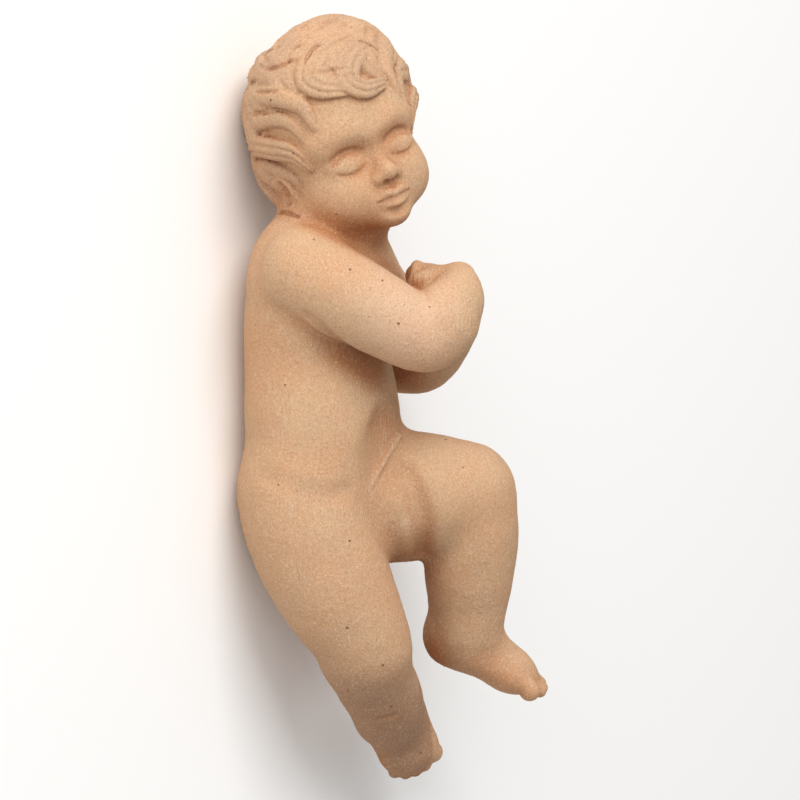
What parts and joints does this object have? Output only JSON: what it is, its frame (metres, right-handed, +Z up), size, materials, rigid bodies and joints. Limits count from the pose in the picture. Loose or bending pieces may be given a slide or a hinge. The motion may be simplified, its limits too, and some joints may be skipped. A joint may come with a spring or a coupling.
{
  "type": "infant figure statue",
  "caption": "Clay figure of a sleeping infant on its back, arms folded before the chest, one knee drawn up.",
  "frame": {"origin": "centre of the bounding box, at the height of the flat that the figure lies on", "axes": "+X from the crown towards the feet, +Y towards the figure's left side, +Z up from the ground"},
  "size_m": [0.125, 0.0526, 0.04],
  "materials": {
    "terracotta": "bare fired clay, matt"
  },
  "bodies": {
    "root": {"infant_figure": "terracotta"}
  },
  "joints": []
}
